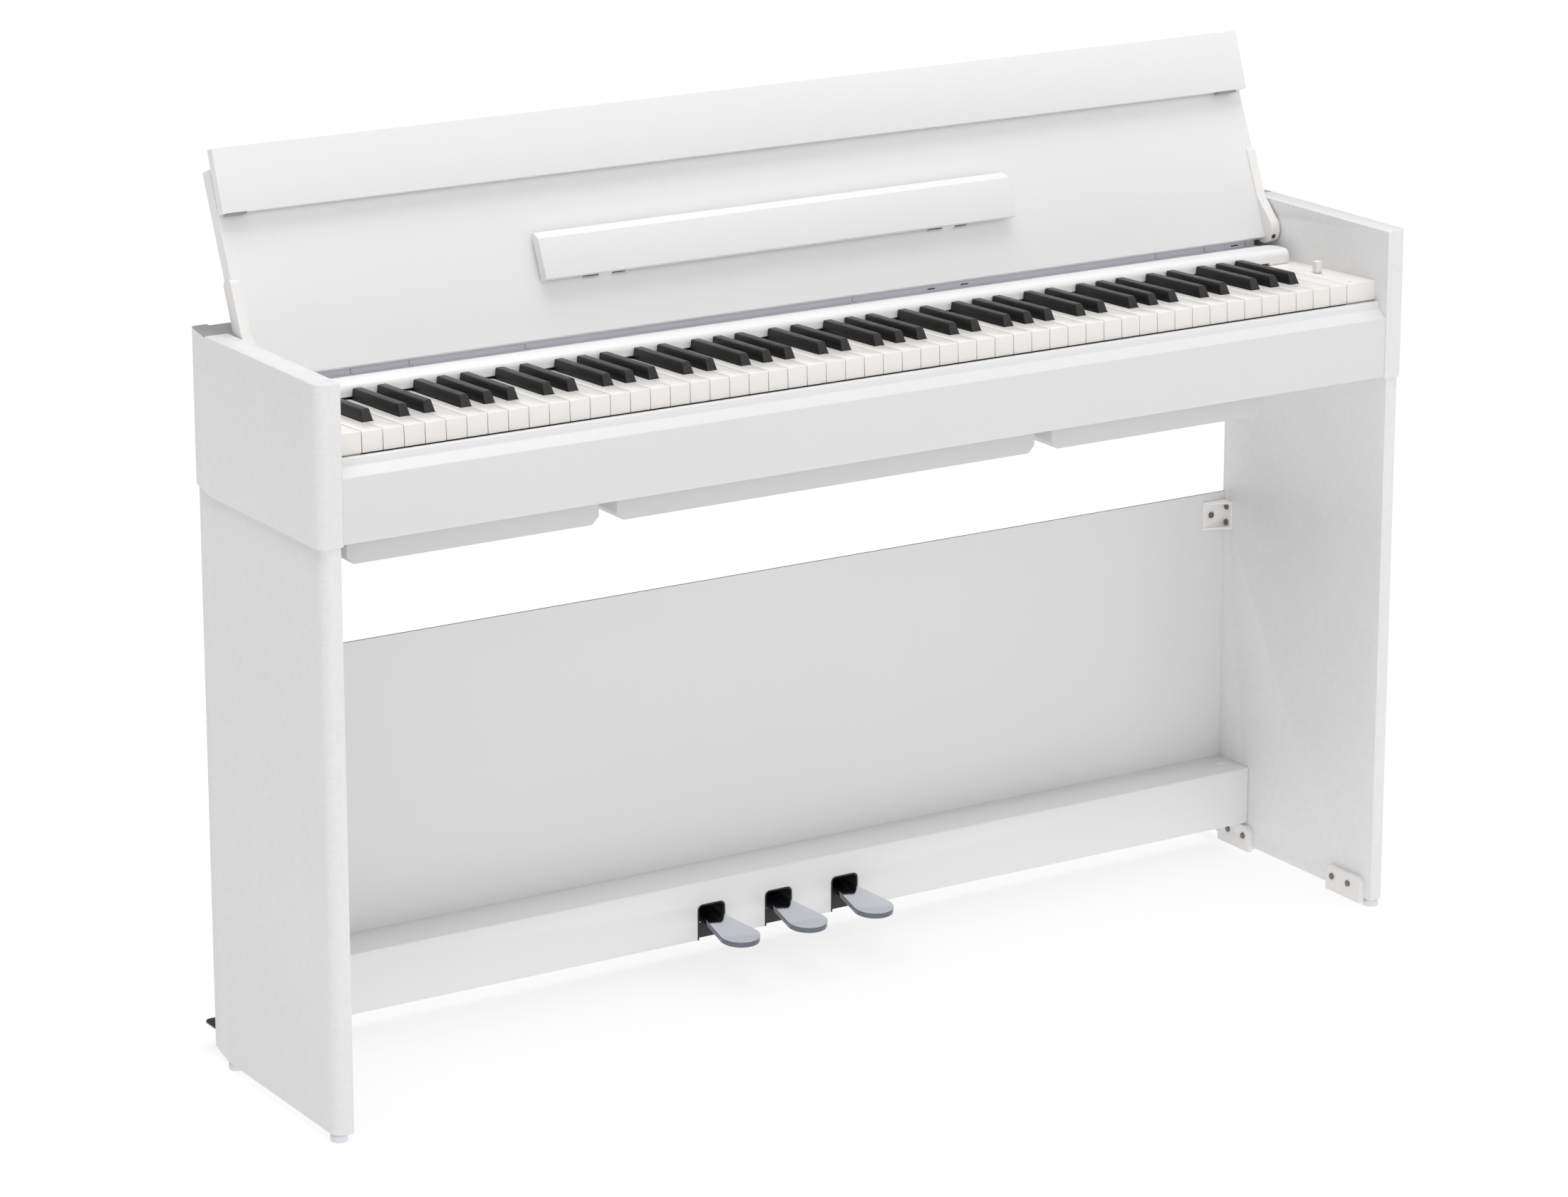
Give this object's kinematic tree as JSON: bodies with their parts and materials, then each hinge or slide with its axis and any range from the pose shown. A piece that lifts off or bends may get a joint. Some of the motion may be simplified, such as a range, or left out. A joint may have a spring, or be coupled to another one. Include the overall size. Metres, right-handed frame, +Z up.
{
  "type": "digital piano",
  "caption": "Upright white digital piano on a two-legged panel stand, with a folding lid, a full weighted keyboard, a music ledge and chrome pedals.",
  "frame": {"origin": "bottom centre of the bounding box, on the floor", "axes": "+X to the player's right along the keyboard, +Y away from the player, +Z up"},
  "size_m": [1.353, 0.325, 0.9758],
  "materials": {
    "side_board": "white foil with a fine woven emboss on a wood board",
    "white_board": "smooth satin white",
    "box_shell": "fine matt texture",
    "key_ivory": "satin off-white",
    "key_black": "satin black",
    "channel_grey": "matt grey",
    "steel": "plain",
    "felt": "pressed felt",
    "driver_black": "paper cone and steel basket",
    "circuit_board": "solder mask",
    "black_plastic": "fine matt",
    "white_plastic": "moulded, satin",
    "grey_pad": "matt",
    "black_enamel": "powder coat",
    "pedal_chrome": "polished"
  },
  "bodies": {
    "cabinet": {"cheek_left": "side_board", "cheek_right": "side_board", "leg_left": "side_board", "leg_right": "side_board", "keybed": "white_board", "key_slip": "white_board", "rear_board": "white_board", "top_board": "white_board", "fallboard_bar": "white_board", "rear_channel": "channel_grey", "end_block_left": "key_ivory", "end_block_right": "key_ivory", "key_frame": "steel", "key_felt": "felt", "key_pivot_rod": "steel", "speaker_box_left": "box_shell", "speaker_box_right": "box_shell", "centre_box": "box_shell", "speaker_drivers": "driver_black", "main_board": "circuit_board", "dc_inlet": "black_plastic", "back_panel": "white_board", "pedal_beam": "white_board", "pedal_housings": "black_plastic", "pedal_axles": "steel", "beam_caps": "white_plastic", "panel_brackets": "white_plastic", "foot_brackets": "white_plastic", "bracket_screws": "steel", "glides": "grey_pad", "rear_brackets": "black_enamel", "lid_pins": "steel"},
    "lid": {"lid_panel": "white_board", "lid_arm_left": "white_plastic", "lid_arm_right": "white_plastic", "arm_plugs": "black_plastic", "flap_hinges": "steel", "ledge_hinges": "steel"},
    "flap": {"flap": "white_board", "flap_pads": "grey_pad"},
    "music_ledge": {"music_ledge": "white_board"},
    "volume_knob": {"volume_knob": "white_plastic"},
    "power_button": {"power_button": "white_plastic"},
    "pedal_left": {"pedal_left": "pedal_chrome"},
    "pedal_middle": {"pedal_middle": "pedal_chrome"},
    "pedal_right": {"pedal_right": "pedal_chrome"},
    "white_keys_1": {"white_keys_1": "key_ivory"},
    "white_keys_2": {"white_keys_2": "key_ivory"},
    "white_keys_3": {"white_keys_3": "key_ivory"},
    "white_keys_4": {"white_keys_4": "key_ivory"},
    "white_keys_5": {"white_keys_5": "key_ivory"},
    "white_keys_6": {"white_keys_6": "key_ivory"},
    "white_keys_7": {"white_keys_7": "key_ivory"},
    "black_keys_1": {"black_keys_1": "key_black"},
    "black_keys_2": {"black_keys_2": "key_black"},
    "black_keys_3": {"black_keys_3": "key_black"},
    "black_keys_4": {"black_keys_4": "key_black"},
    "black_keys_5": {"black_keys_5": "key_black"},
    "black_keys_6": {"black_keys_6": "key_black"},
    "black_keys_7": {"black_keys_7": "key_black"}
  },
  "joints": [
    {"name": "lid_hinge", "type": "hinge", "parent": "cabinet", "child": "lid", "pos_m": [0, 0.0481, 0.7727], "axis": [1, 0, 0], "range_deg": [0, 113.1]},
    {"name": "flap_hinge", "type": "hinge", "parent": "lid", "child": "flap", "pos_m": [0, 0.12607, 0.95372], "axis": [1, 0, 0], "range_deg": [-93.2, 0]},
    {"name": "ledge_hinge", "type": "hinge", "parent": "lid", "child": "music_ledge", "pos_m": [0, 0.06409, 0.80534], "axis": [-1, 0, 0], "range_deg": [-88, 0]},
    {"name": "volume_slide", "type": "slide", "parent": "cabinet", "child": "volume_knob", "axis": [0, 0.9992, -0.041], "range_m": [-0.009, 0.009]},
    {"name": "power_press", "type": "slide", "parent": "cabinet", "child": "power_button", "axis": [0, -0.041, -0.9992], "range_m": [0, 0.0012], "stiffness_N_per_m": 600, "springref_m": -0.0005},
    {"name": "pedal_left_press", "type": "hinge", "parent": "cabinet", "child": "pedal_left", "pos_m": [-0.08725, 0.1115, 0.0654], "axis": [1, 0, 0], "range_deg": [0, 5], "stiffness_Nm_per_rad": 12, "springref_deg": -6.88},
    {"name": "pedal_middle_press", "type": "hinge", "parent": "cabinet", "child": "pedal_middle", "pos_m": [0, 0.1115, 0.0654], "axis": [1, 0, 0], "range_deg": [0, 5], "stiffness_Nm_per_rad": 12, "springref_deg": -6.88},
    {"name": "pedal_right_press", "type": "hinge", "parent": "cabinet", "child": "pedal_right", "pos_m": [0.08725, 0.1115, 0.0654], "axis": [1, 0, 0], "range_deg": [0, 5], "stiffness_Nm_per_rad": 12, "springref_deg": -6.88},
    {"name": "white_keys_1_press", "type": "hinge", "parent": "cabinet", "child": "white_keys_1", "pos_m": [0, 0.08524, 0.71792], "axis": [1, 0, 0], "range_deg": [0, 2.5], "stiffness_Nm_per_rad": 30, "springref_deg": -4.58},
    {"name": "white_keys_2_press", "type": "hinge", "parent": "cabinet", "child": "white_keys_2", "pos_m": [0, 0.08524, 0.71792], "axis": [1, 0, 0], "range_deg": [0, 2.5], "stiffness_Nm_per_rad": 30, "springref_deg": -4.58},
    {"name": "white_keys_3_press", "type": "hinge", "parent": "cabinet", "child": "white_keys_3", "pos_m": [0, 0.08524, 0.71792], "axis": [1, 0, 0], "range_deg": [0, 2.5], "stiffness_Nm_per_rad": 30, "springref_deg": -4.58},
    {"name": "white_keys_4_press", "type": "hinge", "parent": "cabinet", "child": "white_keys_4", "pos_m": [0, 0.08524, 0.71792], "axis": [1, 0, 0], "range_deg": [0, 2.5], "stiffness_Nm_per_rad": 30, "springref_deg": -4.58},
    {"name": "white_keys_5_press", "type": "hinge", "parent": "cabinet", "child": "white_keys_5", "pos_m": [0, 0.08524, 0.71792], "axis": [1, 0, 0], "range_deg": [0, 2.5], "stiffness_Nm_per_rad": 30, "springref_deg": -4.58},
    {"name": "white_keys_6_press", "type": "hinge", "parent": "cabinet", "child": "white_keys_6", "pos_m": [0, 0.08524, 0.71792], "axis": [1, 0, 0], "range_deg": [0, 2.5], "stiffness_Nm_per_rad": 30, "springref_deg": -4.58},
    {"name": "white_keys_7_press", "type": "hinge", "parent": "cabinet", "child": "white_keys_7", "pos_m": [0, 0.08524, 0.71792], "axis": [1, 0, 0], "range_deg": [0, 2.5], "stiffness_Nm_per_rad": 30, "springref_deg": -4.58},
    {"name": "black_keys_1_press", "type": "hinge", "parent": "cabinet", "child": "black_keys_1", "pos_m": [0, 0.08524, 0.71792], "axis": [1, 0, 0], "range_deg": [0, 2.5], "stiffness_Nm_per_rad": 30, "springref_deg": -3.44},
    {"name": "black_keys_2_press", "type": "hinge", "parent": "cabinet", "child": "black_keys_2", "pos_m": [0, 0.08524, 0.71792], "axis": [1, 0, 0], "range_deg": [0, 2.5], "stiffness_Nm_per_rad": 30, "springref_deg": -3.44},
    {"name": "black_keys_3_press", "type": "hinge", "parent": "cabinet", "child": "black_keys_3", "pos_m": [0, 0.08524, 0.71792], "axis": [1, 0, 0], "range_deg": [0, 2.5], "stiffness_Nm_per_rad": 30, "springref_deg": -3.44},
    {"name": "black_keys_4_press", "type": "hinge", "parent": "cabinet", "child": "black_keys_4", "pos_m": [0, 0.08524, 0.71792], "axis": [1, 0, 0], "range_deg": [0, 2.5], "stiffness_Nm_per_rad": 30, "springref_deg": -3.44},
    {"name": "black_keys_5_press", "type": "hinge", "parent": "cabinet", "child": "black_keys_5", "pos_m": [0, 0.08524, 0.71792], "axis": [1, 0, 0], "range_deg": [0, 2.5], "stiffness_Nm_per_rad": 30, "springref_deg": -3.44},
    {"name": "black_keys_6_press", "type": "hinge", "parent": "cabinet", "child": "black_keys_6", "pos_m": [0, 0.08524, 0.71792], "axis": [1, 0, 0], "range_deg": [0, 2.5], "stiffness_Nm_per_rad": 30, "springref_deg": -3.44},
    {"name": "black_keys_7_press", "type": "hinge", "parent": "cabinet", "child": "black_keys_7", "pos_m": [0, 0.08524, 0.71792], "axis": [1, 0, 0], "range_deg": [0, 2.5], "stiffness_Nm_per_rad": 30, "springref_deg": -3.44}
  ]
}
